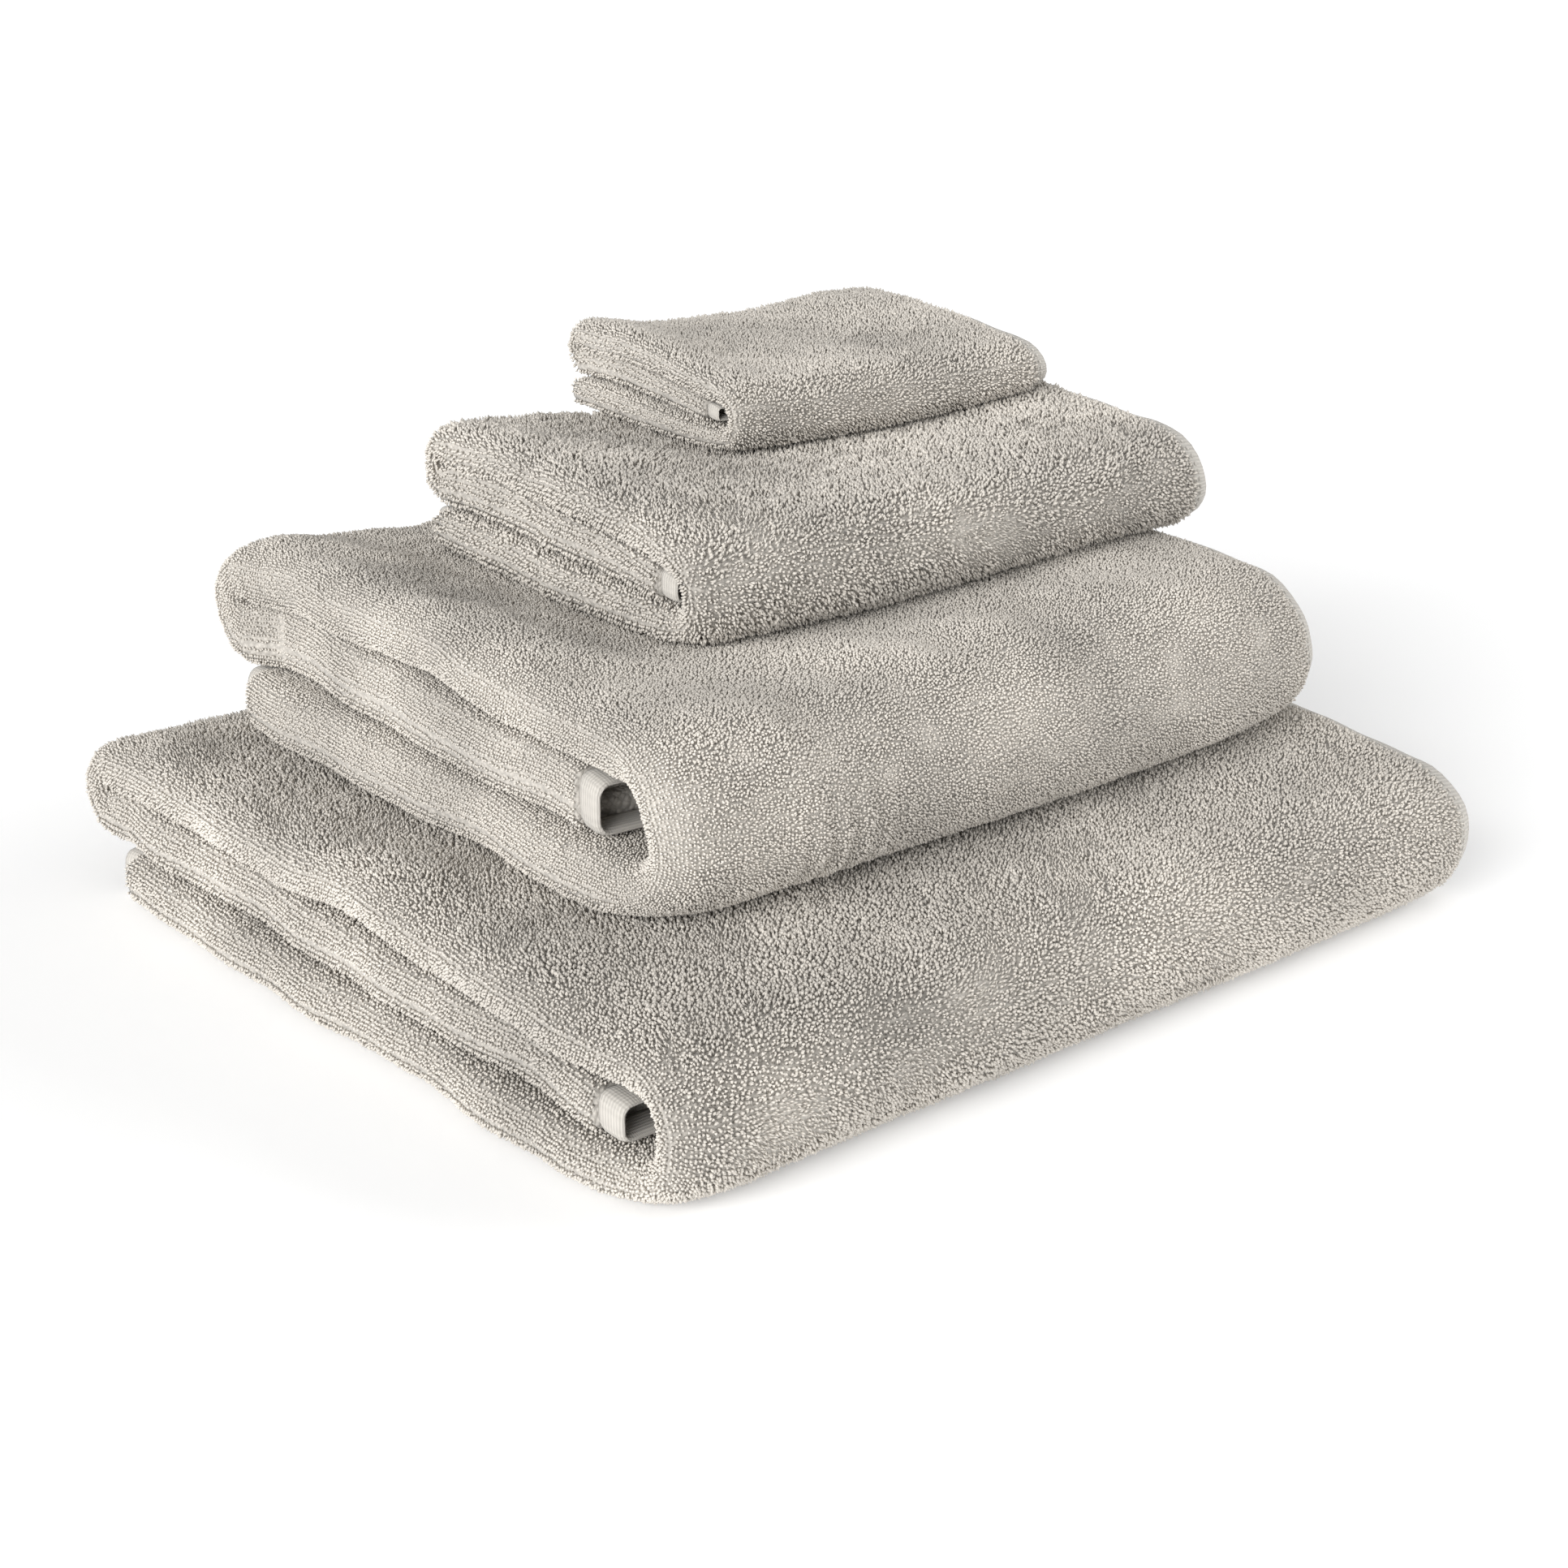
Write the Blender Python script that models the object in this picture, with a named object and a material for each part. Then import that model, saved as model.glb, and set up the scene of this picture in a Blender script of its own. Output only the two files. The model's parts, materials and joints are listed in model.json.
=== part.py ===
"""Bath towel set: four folded terry towels stacked from a bath sheet up to a face cloth.

Every towel is one woven sheet. It is doubled once, which makes a band of two plies that turns round
a lip at its left end, and the band is then folded in three like a letter round a full, soft spine.
Flat-woven hems close the sheet's four edges: the two end hems lie at the ends of the folded band,
and the two side hems lie one over the other at its right end.

Frame: metres, +Z up, origin under the middle of the bath sheet. X runs along the spines, and the
spines face -Y.
"""

import math

import bmesh
import bpy
import numpy as np

# Clearances shared by the whole stack
SEAM = 0.0003  # between the terry and the hem sewn to it
REST_GAP = 0.0003  # between one towel and the towel it lies on
PANELS = 3  # the letter fold has a bottom, an inner and a top panel

# Facets: how finely the curved stretches are drawn
SPINE_STEPS = 10
RETURN_STEPS = 6
LIP_STEPS = 6
SLOT_STEPS = 2
PANEL_STEPS = 4
LOOSE_STEPS = 3
COVERED_STEPS = 4

# One entry per towel, from the bottom of the stack to the top. Lengths are in metres.
#   length      along the spine, from the lip to the side hems
#   depth       from the spine to the back fold
#   height      over the three panels, where the towel above presses on it
#   left, front where its left end and its spine stand in the stack, before it is turned
#   turn        how far it is turned about its own middle, in degrees, anticlockwise from above
#   short       how far the bottom panel's hem stops short of the back fold
#   panel_gap   air left between two panels
#   ply_gap     air left between the two plies of a panel
#   end_hem     width of the flat hem across each end of the cloth
#   side_hem    width of the flat hem along each side of the cloth
#   hem_ply     thickness of the flat-woven hem
#   tuck        how far behind the spine's centre the inner end hem stops
#   puff        how far the loose part beside the towel above swells up
TOWELS = {
    "bath_sheet": dict(
        length=0.460, depth=0.454, height=0.067, left=-0.230, front=-0.227, turn=0.0, short=0.034,
        panel_gap=0.0018, ply_gap=0.0012, end_hem=0.015, side_hem=0.010, hem_ply=0.0030,
        tuck=0.006, puff=0.006, colour=(0.66, 0.63, 0.58),
    ),
    "bath_towel": dict(
        length=0.371, depth=0.362, height=0.081, left=-0.166, front=-0.154, turn=-1.2, short=0.020,
        panel_gap=0.0024, ply_gap=0.0014, end_hem=0.015, side_hem=0.010, hem_ply=0.0030,
        tuck=0.012, puff=0.014, colour=(0.65, 0.62, 0.57),
    ),
    "hand_towel": dict(
        length=0.295, depth=0.225, height=0.049, left=-0.079, front=-0.069, turn=-3.1, short=0.005,
        panel_gap=0.0016, ply_gap=0.0010, end_hem=0.012, side_hem=0.009, hem_ply=0.0026,
        tuck=0.003, puff=0.003, colour=(0.67, 0.64, 0.59),
    ),
    "face_cloth": dict(
        length=0.182, depth=0.150, height=0.032, left=0.015, front=0.019, turn=-5.6, short=0.003,
        panel_gap=0.0012, ply_gap=0.0008, end_hem=0.009, side_hem=0.008, hem_ply=0.0020,
        tuck=0.004, puff=0.0, colour=(0.66, 0.63, 0.58),
    ),
}
PUFF_REACH = 0.050  # over this distance the swelling grows from nothing to its full height
PRESS_MARGIN = 0.008  # the towel above presses this far past its own left end


def clear_scene():
    """Removes whatever the file holds before the model is made."""
    for item in list(bpy.data.objects):
        bpy.data.objects.remove(item, do_unlink=True)


def cloth_material(name, colour):
    """Undyed matt cotton in the given colour."""
    material = bpy.data.materials.new(name)
    material.use_nodes = True
    shader = material.node_tree.nodes["Principled BSDF"]
    shader.inputs["Base Color"].default_value = (*colour, 1.0)
    shader.inputs["Roughness"].default_value = 0.95
    shader.inputs["Metallic"].default_value = 0.0
    return material


class Fold:
    """The letter fold of one towel, worked out from its driving sizes."""

    def __init__(self, size, base):
        self.size = size
        self.base = base
        self.band = (size["height"] - (PANELS - 1) * size["panel_gap"]) / PANELS
        self.half = self.band / 2
        self.ply = self.half - size["ply_gap"] / 2
        self.spine_radius = (size["height"] - self.band) / 2
        self.return_radius = (self.band + size["panel_gap"]) / 2
        self.front = size["front"]
        self.back = size["front"] + size["depth"]
        self.hem_edge = self.back - size["short"]
        self.bottom_height = base + self.half
        self.top_height = base + size["height"] - self.half
        self.inner_height = self.top_height - 2 * self.return_radius
        self.spine_centre = self.front + self.half + self.spine_radius
        self.return_centre = self.back - self.half - self.return_radius
        self.inner_end = self.spine_centre + size["tuck"]

    def bottom_panel(self, start, end, steps=PANEL_STEPS):
        """Points of the bottom panel, running from start to end along Y, with the outside below."""
        y = np.linspace(start, end, steps + 1)
        flat = np.full_like(y, self.bottom_height)
        return np.stack([y, flat, np.zeros_like(y), -np.ones_like(y)], axis=1)

    def inner_panel(self, start, end, steps=PANEL_STEPS):
        """Points of the inner panel, which lies face down like the bottom one."""
        y = np.linspace(start, end, steps + 1)
        flat = np.full_like(y, self.inner_height)
        return np.stack([y, flat, np.zeros_like(y), -np.ones_like(y)], axis=1)

    def spine(self):
        """Half circle from the bottom panel round the front to the top panel."""
        turn = np.linspace(-math.pi / 2, math.pi / 2, SPINE_STEPS + 1)
        out_y = -np.cos(turn)
        out_z = np.sin(turn)
        middle = (self.bottom_height + self.top_height) / 2
        y = self.spine_centre + self.spine_radius * out_y
        z = middle + self.spine_radius * out_z
        return np.stack([y, z, out_y, out_z], axis=1)

    def top_panel(self):
        """Points of the top panel between the two turns, with the outside above."""
        y = np.linspace(self.spine_centre, self.return_centre, PANEL_STEPS + 1)
        flat = np.full_like(y, self.top_height)
        return np.stack([y, flat, np.zeros_like(y), np.ones_like(y)], axis=1)[1:-1]

    def back_turn(self):
        """Half circle from the top panel round the back down to the inner panel."""
        turn = np.linspace(math.pi / 2, -math.pi / 2, RETURN_STEPS + 1)
        out_y = np.cos(turn)
        out_z = np.sin(turn)
        middle = (self.top_height + self.inner_height) / 2
        y = self.return_centre + self.return_radius * out_y
        z = middle + self.return_radius * out_z
        return np.stack([y, z, out_y, out_z], axis=1)

    def route(self, trimmed):
        """The whole folded route, less the stated length at each of its two ends."""
        bottom = self.bottom_panel(self.hem_edge - trimmed, self.spine_centre)[:-1]
        inner = self.inner_panel(self.return_centre, self.inner_end + trimmed)[1:]
        return np.concatenate([bottom, self.spine(), self.top_panel(), self.back_turn(), inner])

    def terry_route(self):
        """The terry lies between the two end hems."""
        return self.route(self.size["end_hem"] + SEAM)

    def side_hem_route(self):
        """The side hems run to the very ends of the cloth."""
        return self.route(0.0)

    def outer_hem_route(self):
        """The end hem that finishes the bottom panel at the back."""
        return self.bottom_panel(self.hem_edge, self.hem_edge - self.size["end_hem"], 1)

    def inner_hem_route(self):
        """The end hem that finishes the inner panel, tucked in behind the spine."""
        hem = self.size["end_hem"]
        return self.inner_panel(self.inner_end + hem, self.inner_end, 1)


def doubled_section(right, covered, half, ply):
    """Outline in (x, h) of a doubled sheet: two plies that turn round a lip at the left end.

    Right is the plies' free end and covered is where the towel above begins, both from the lip.
    """
    slot = half - ply
    under = np.linspace(right, covered, COVERED_STEPS + 1)
    loose = np.linspace(covered, half, LOOSE_STEPS + 1)
    run = np.concatenate([under, loose[1:]])
    lip = np.linspace(math.pi / 2, 3 * math.pi / 2, LIP_STEPS + 1)
    outer_lip = np.stack([half + half * np.cos(lip), half * np.sin(lip)], axis=1)
    inner_turn = np.linspace(3 * math.pi / 2, math.pi / 2, SLOT_STEPS + 1)
    inner_lip = np.stack([half + slot * np.cos(inner_turn), slot * np.sin(inner_turn)], axis=1)
    outer_top = np.stack([run, np.full_like(run, half)], axis=1)[:-1]
    outer_low = np.stack([run[::-1], np.full_like(run, -half)], axis=1)[1:]
    inner_low = np.stack([run, np.full_like(run, -slot)], axis=1)[:-1]
    inner_top = np.stack([run[::-1], np.full_like(run, slot)], axis=1)[1:]
    return np.concatenate([outer_top, outer_lip, outer_low, inner_low, inner_lip, inner_top])


def strip_section(left, right, low, high):
    """Outline in (x, h) of one flat strip of cloth."""
    return np.array([(right, low), (right, high), (left, high), (left, low)])


def swell(points, size, covered):
    """Lifts the upper part of a towel to the left of the towel above it, by its puff.

    The lift is the puff times a smooth step in x, which is 1 near the left end and 0 where the
    towel above begins to press, times the share of the height that the point has.
    """
    lifted = points.copy()
    share = np.clip((covered - points[:, 0]) / PUFF_REACH, 0.0, 1.0)
    smooth = share * share * (3 - 2 * share)
    rise = np.clip((points[:, 2] - size["base"]) / size["height"], 0.0, 1.0)
    lifted[:, 2] = lifted[:, 2] + size["puff"] * smooth * rise
    return lifted


def place_in_stack(points, size):
    """Moves a towel from its lip to its place along X, and turns it about its own middle."""
    placed = points.copy()
    placed[:, 0] += size["left"]
    middle_x = size["left"] + size["length"] / 2
    middle_y = size["front"] + size["depth"] / 2
    angle = math.radians(size["turn"])
    along = placed[:, 0] - middle_x
    across = placed[:, 1] - middle_y
    placed[:, 0] = middle_x + along * math.cos(angle) - across * math.sin(angle)
    placed[:, 1] = middle_y + along * math.sin(angle) + across * math.cos(angle)
    return placed


def pressed_from(size, above):
    """How far from its own lip a towel is pressed by the towel above, whose corners may be turned."""
    if above is None:
        return size["length"] / 2
    turned = math.radians(abs(above["turn"] - size["turn"]))
    corner = above["depth"] / 2 * math.sin(turned)
    return above["left"] - size["left"] - corner - PRESS_MARGIN


def carry_along(name, section, route, size, covered, material):
    """Carries an outline in (x, h) along a route, closes both ends and makes the object."""
    count = len(section)
    stations = len(route)
    x = np.broadcast_to(section[:, 0], (stations, count))
    h = section[None, :, 1]
    y = route[:, 0, None] + h * route[:, 2, None]
    z = route[:, 1, None] + h * route[:, 3, None]
    points = swell(np.stack([x, y, z], axis=2).reshape(-1, 3), size, covered)
    points = place_in_stack(points, size)
    here = np.arange(stations - 1)[:, None] * count + np.arange(count)[None, :]
    beside = np.arange(stations - 1)[:, None] * count + (np.arange(count)[None, :] + 1) % count
    sides = np.stack([here, beside, beside + count, here + count], axis=2).reshape(-1, 4)
    ends = [list(range(count)), list(range((stations - 1) * count, stations * count))]
    mesh = bpy.data.meshes.new(name)
    mesh.from_pydata(points.tolist(), [], sides.tolist() + ends)
    work = bmesh.new()
    work.from_mesh(mesh)
    bmesh.ops.recalc_face_normals(work, faces=work.faces)
    bmesh.ops.triangulate(work, faces=[face for face in work.faces if len(face.verts) > 4])
    work.to_mesh(mesh)
    work.free()
    mesh.materials.append(material)
    mesh.shade_smooth()
    mesh.set_sharp_from_angle(angle=math.radians(40))
    item = bpy.data.objects.new(name, mesh)
    bpy.context.collection.objects.link(item)
    return item


def make_towel(name, size, base, above):
    """Makes one towel's terry, its two end hems and its two side hems."""
    size = dict(size, base=base)
    fold = Fold(size, base)
    terry = cloth_material(name + "_terry", size["colour"])
    woven = cloth_material(name + "_hem", tuple(0.94 * part for part in size["colour"]))
    body_right = size["length"] - size["side_hem"] - SEAM
    covered = pressed_from(size, above)
    hem_half = fold.half - (fold.ply - size["hem_ply"]) / 2
    pieces = [
        (name + "_terry", doubled_section(body_right, covered, fold.half, fold.ply),
         fold.terry_route(), terry),
        (name + "_end_hem_outer", doubled_section(body_right, covered, hem_half, size["hem_ply"]),
         fold.outer_hem_route(), woven),
        (name + "_end_hem_inner", doubled_section(body_right, covered, hem_half, size["hem_ply"]),
         fold.inner_hem_route(), woven),
    ]
    low = hem_half - size["hem_ply"]
    side_left = size["length"] - size["side_hem"]
    pieces.append((name + "_side_hem_outer",
                   strip_section(side_left, size["length"], low, hem_half), fold.side_hem_route(), woven))
    pieces.append((name + "_side_hem_inner",
                   strip_section(side_left, size["length"], -hem_half, -low), fold.side_hem_route(), woven))
    for piece_name, section, route, material in pieces:
        carry_along(piece_name, section, route, size, covered, material)


def main():
    """Builds the stack from the floor up."""
    clear_scene()
    base = 0.0
    names = list(TOWELS)
    for place, name in enumerate(names):
        size = TOWELS[name]
        above = TOWELS[names[place + 1]] if place + 1 < len(names) else None
        make_towel(name, size, base, above)
        base += size["height"] + REST_GAP


main()
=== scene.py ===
"""Dresses the bath towel set: four folded terry towels with looped pile, flat-woven hems and stitching.

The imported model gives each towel's place, size and fold. Every towel is worked out again here as one
folded sheet on a fine grid, with low hills, slumps and ripples, and carries its loops of pile.
"""

import json
import math

import bpy
import numpy as np
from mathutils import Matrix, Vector

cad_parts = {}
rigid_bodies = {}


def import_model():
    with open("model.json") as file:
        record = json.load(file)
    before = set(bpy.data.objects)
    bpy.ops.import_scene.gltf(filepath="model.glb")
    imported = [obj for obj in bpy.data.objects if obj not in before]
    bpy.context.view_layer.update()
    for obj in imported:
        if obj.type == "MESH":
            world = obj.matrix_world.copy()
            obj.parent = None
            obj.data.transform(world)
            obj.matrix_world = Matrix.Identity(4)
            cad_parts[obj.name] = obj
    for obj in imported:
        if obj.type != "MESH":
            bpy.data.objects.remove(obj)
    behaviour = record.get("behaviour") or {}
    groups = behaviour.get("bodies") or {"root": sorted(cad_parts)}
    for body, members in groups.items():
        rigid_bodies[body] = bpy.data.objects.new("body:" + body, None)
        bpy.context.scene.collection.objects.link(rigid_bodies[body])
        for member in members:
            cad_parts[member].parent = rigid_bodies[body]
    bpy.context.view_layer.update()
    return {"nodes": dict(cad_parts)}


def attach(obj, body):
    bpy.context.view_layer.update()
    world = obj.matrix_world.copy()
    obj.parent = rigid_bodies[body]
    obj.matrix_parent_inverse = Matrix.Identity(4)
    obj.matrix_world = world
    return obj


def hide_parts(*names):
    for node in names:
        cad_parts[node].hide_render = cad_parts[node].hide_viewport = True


bl_info = {
    "name": "Bath Towel Set",
    "version": (1, 0, 0),
    "blender": (4, 5, 0),
    "location": "View3D > Sidebar > Towels",
    "description": "Makes the cloths, hems, stitches and pile of a stack of folded terry towels",
    "category": "Add Mesh",
}

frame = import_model()

TOWELS = ("bath_sheet", "bath_towel", "hand_towel", "face_cloth")
TURNS = (0.0, -1.2, -3.1, -5.6)  # degrees that each towel is turned in the stack
PANELS = 3
REST_GAP = 0.0003


# ----------------------------------------------------------------------------- the fold's own sizes


def node_points(name):
    """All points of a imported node, in the model's frame."""
    mesh = frame["nodes"][name].data
    flat = np.empty(len(mesh.vertices) * 3)
    mesh.vertices.foreach_get("co", flat)
    return flat.reshape(-1, 3)


def turned(x, y, angle):
    """Distances along and across axes that are turned by an angle from x and y."""
    return x * math.cos(angle) + y * math.sin(angle), -x * math.sin(angle) + y * math.cos(angle)


def turned_box(points, angle):
    """Lowest and highest (along, across, up) of points, measured along axes turned by an angle."""
    places = np.stack([*turned(points[:, 0], points[:, 1], angle), points[:, 2]], axis=1)
    return places.min(axis=0), places.max(axis=0)


def measure_towel(place):
    """Reads one towel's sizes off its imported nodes."""
    name = TOWELS[place]
    turn = math.radians(TURNS[place])
    low, high = turned_box(node_points(name + "_terry"), turn)
    side = turned_box(node_points(name + "_side_hem_outer"), turn)
    outer = turned_box(node_points(name + "_end_hem_outer"), turn)
    inner = turned_box(node_points(name + "_end_hem_inner"), turn)
    return {
        "name": name,
        "turn": turn,
        "left": low[0],
        "front": low[1],
        "length": side[1][0] - low[0],
        "depth": high[1] - low[1],
        "base": low[2],
        "top": high[2],
        "side_hem": side[1][0] - side[0][0],
        "end_hem": outer[1][1] - outer[0][1],
        "hem_edge": outer[1][1],
        "inner_end": inner[0][1],
    }


SIZES = [measure_towel(place) for place in range(len(TOWELS))]
for lower, upper in zip(SIZES[:-1], SIZES[1:]):
    lower["height"] = upper["base"] - lower["base"] - REST_GAP
SIZES[-1]["height"] = SIZES[-1]["top"] - SIZES[-1]["base"]


def spread_run(start, stop, step):
    """Evenly spaced values from start to stop, about one step apart, with both ends."""
    return np.linspace(start, stop, max(2, int(round(abs(stop - start) / step)) + 1))


class Fold:
    """The letter fold of one towel in its own turned axes: along, across and up."""

    def __init__(self, size, gap, tuck):
        self.size = size
        band = (size["height"] - (PANELS - 1) * gap) / PANELS
        self.half = band / 2
        self.spine_radius = (size["height"] - band) / 2
        self.return_radius = (band + gap) / 2
        self.low = size["base"] + self.half
        self.high = size["base"] + size["height"] - self.half
        self.inner = self.high - 2 * self.return_radius
        self.spine_centre = size["front"] + self.half + self.spine_radius
        self.return_centre = size["front"] + size["depth"] - self.half - self.return_radius
        self.inner_end = self.spine_centre + tuck
        self.ends = np.cumsum([
            size["hem_edge"] - self.spine_centre,
            math.pi * self.spine_radius,
            self.return_centre - self.spine_centre,
            math.pi * self.return_radius,
            self.return_centre - self.inner_end,
        ])
        self.total = self.ends[-1]

    def route(self, step, start=0.0, stop=None):
        """Stations (across, up, outward across, outward up) every step along the folded middle line.

        The line is straight along the bottom panel, a half circle round the spine, straight along
        the top panel, a half circle round the back and straight along the inner panel.
        """
        stop = self.total if stop is None else stop
        s = spread_run(start, stop, step)
        part = np.searchsorted(self.ends, s, side="left").clip(0, 4)
        t = s - np.concatenate([[0.0], self.ends])[part]
        spine_turn = t / self.spine_radius - math.pi / 2
        back_turn = math.pi / 2 - t / self.return_radius
        spine_middle = (self.low + self.high) / 2
        back_middle = (self.high + self.inner) / 2
        zero = np.zeros_like(t)
        one = np.ones_like(t)
        across = np.choose(part, [
            self.size["hem_edge"] - t,
            self.spine_centre - self.spine_radius * np.cos(spine_turn),
            self.spine_centre + t,
            self.return_centre + self.return_radius * np.cos(back_turn),
            self.return_centre - t,
        ])
        up = np.choose(part, [
            self.low + zero,
            spine_middle + self.spine_radius * np.sin(spine_turn),
            self.high + zero,
            back_middle + self.return_radius * np.sin(back_turn),
            self.inner + zero,
        ])
        out_across = np.choose(part, [zero, -np.cos(spine_turn), zero, np.cos(back_turn), zero])
        out_up = np.choose(part, [-one, np.sin(spine_turn), one, np.sin(back_turn), -one])
        return {
            "s": s, "part": part, "across": across, "up": up,
            "out_across": out_across, "out_up": out_up,
        }


# --------------------------------------------------------------------------- how the cloth settles


def smooth_step(x, low, high):
    """0 below low, 1 above high, and a smooth cubic between them."""
    t = np.clip((x - low) / (high - low), 0.0, 1.0)
    return t * t * (3 - 2 * t)


def quarter_round(x, least):
    """A quarter ellipse that rises from least at 0 to 1 at 1, and stays level on both sides."""
    return least + (1 - least) * np.sqrt(1 - (1 - np.clip(x, 0.0, 1.0)) ** 2)


def ripple(points, wave, seed):
    """A smooth field between about -1 and 1: the mean of seven sines in seeded directions.

    Each sine runs along its own direction with a wavelength between 0.7 and 1.5 of the one given.
    """
    draw = np.random.default_rng(seed)
    ways = draw.normal(size=(7, 3))
    ways /= np.linalg.norm(ways, axis=1, keepdims=True)
    counts = 2 * math.pi / (wave * draw.uniform(0.7, 1.5, 7))
    phases = draw.uniform(0, 2 * math.pi, 7)
    return np.sin(points @ (ways * counts[:, None]).T + phases).sum(axis=-1) / 3.5


# Hills and hollows of each towel's top as (height, along, across, reach along, reach across): the
# height in metres, the rest as shares of the towel's own length and depth.
HILLS = (
    ((0.007, -0.02, 0.70, 0.14, 0.40), (-0.004, 0.00, 0.02, 0.25, 0.12), (0.012, 0.97, 0.58, 0.20, 0.45)),
    ((0.016, 0.00, 0.64, 0.13, 0.42), (-0.004, 0.10, -0.05, 0.35, 0.12), (-0.006, 0.42, 0.45, 0.28, 0.30),
     (0.005, 0.90, 0.60, 0.14, 0.45)),
    ((0.011, 0.00, 0.70, 0.20, 0.45), (-0.003, 0.05, 0.00, 0.30, 0.20), (0.012, 0.95, 0.72, 0.22, 0.42)),
    ((0.012, 0.00, 0.72, 0.17, 0.55), (0.002, 0.36, 0.75, 0.17, 0.50), (0.008, 0.86, 0.74, 0.27, 0.45)),
)
SLUMP = (0.004, 0.006, 0.003, 0.002)  # how much each top panel sinks towards its spine


def top_shift(place, x, y):
    """How far the top of a towel lies above or below its flat height at a place on the floor plan.

    The sum of the towel's hills, each a product of two bell curves, less its slump at the spine.
    """
    if place < 0:
        return np.zeros_like(x)
    size = SIZES[place]
    along, across = turned(x, y, size["turn"])
    a = (along - size["left"]) / size["length"]
    b = (across - size["front"]) / size["depth"]
    shift = -SLUMP[place] * (1 - smooth_step(b, 0.0, 0.22))
    for height, a0, b0, reach_a, reach_b in HILLS[place]:
        shift = shift + height * np.exp(-(((a - a0) / reach_a) ** 2) - ((b - b0) / reach_b) ** 2)
    return shift


LIP_WAVE = (0.001575, 0.0018, 0.001125, 0.00081)  # how far the folded lips wander in and out
LIP_REACH = 0.045  # how fast the lips' wandering fades along the cloth
LIP_KEYS = ((0.031, 1.0, 1.0), (0.0173, 0.7, 2.1), (0.0101, 0.5, 0.0))  # length, share, start per towel
RIPPLES = (0.0018, 0.0022, 0.0013, 0.0009)  # height of the soft waves over the cloth
RIPPLE_KEYS = ((0.085, 1.0, 11), (0.030, 0.35, 31))  # wavelength, share and seed of the soft waves
HANGING = (-0.95, -0.30)  # outward slopes between which the waves grow from nothing to full
PRESSED = (-0.030, 0.005)  # how far inside the towel above the waves begin to flatten and are flat

# Depth and reach of the rounded right end of each spine.
END_ROUNDS = ((0.004, 0.060), (0.006, 0.070), (0.004, 0.050), (0.002, 0.030))

# Upright creases in each spine near its lip: their height, then the middle and reach of their patch
# along the cloth, the same as shares of the way up, their wavelength and how far they lean.
CREASES = (0.0, 0.0009, 0.0, 0.0)
CREASE_PATCH = (0.085, 0.032, 0.40, 0.24)
CREASE_WAVE = 0.0125
CREASE_LEAN = 0.016

# How far the lips stand in (+) or out (-), and how far the right end stands out: in the bottom panel,
# at the foot and head of the spine, in the top panel and after the back fold. The lips also have
# places a little and well into the inner panel, which falls back beside the back fold.
LIP_SHIFTS = (
    (-0.006, -0.001, 0.002, 0.004, 0.002, 0.005, 0.001),
    (-0.006, -0.001, 0.002, 0.004, 0.002, 0.012, 0.001),
    (-0.004, 0.000, 0.001, 0.001, 0.001, 0.004, 0.001),
    (-0.004, 0.000, 0.000, 0.000, 0.001, 0.002, 0.001),
)
END_SHIFTS = (
    (0.008, 0.009, 0.005, 0.003, 0.000), (0.008, 0.009, 0.003, -0.002, 0.000),
    (0.009, 0.009, 0.001, -0.001, 0.000), (0.004, 0.004, 0.001, 0.001, 0.000),
)
# Where those values hold: the end of a stretch of the fold, counted from 0, and a distance beyond.
SHIFT_KNOTS = ((0, -0.03), (0, 0.0), (1, 0.0), (2, -0.02), (3, 0.0), (3, 0.02), (3, 0.10))
END_SHIFT_REACH = 0.040  # how fast the right end's shift fades along the cloth
FLOOR_AIR = 0.0002  # the least height of anything over the floor


def covered_by(place, x, y):
    """How far a place on the floor plan lies inside the towel above, in metres; negative outside."""
    if place + 1 >= len(SIZES):
        return np.full_like(x, -1.0)
    size = SIZES[place + 1]
    along, across = turned(x, y, size["turn"])
    along, across = along - size["left"], across - size["front"]
    return np.minimum.reduce([along, size["length"] - along, across, size["depth"] - across])


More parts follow.
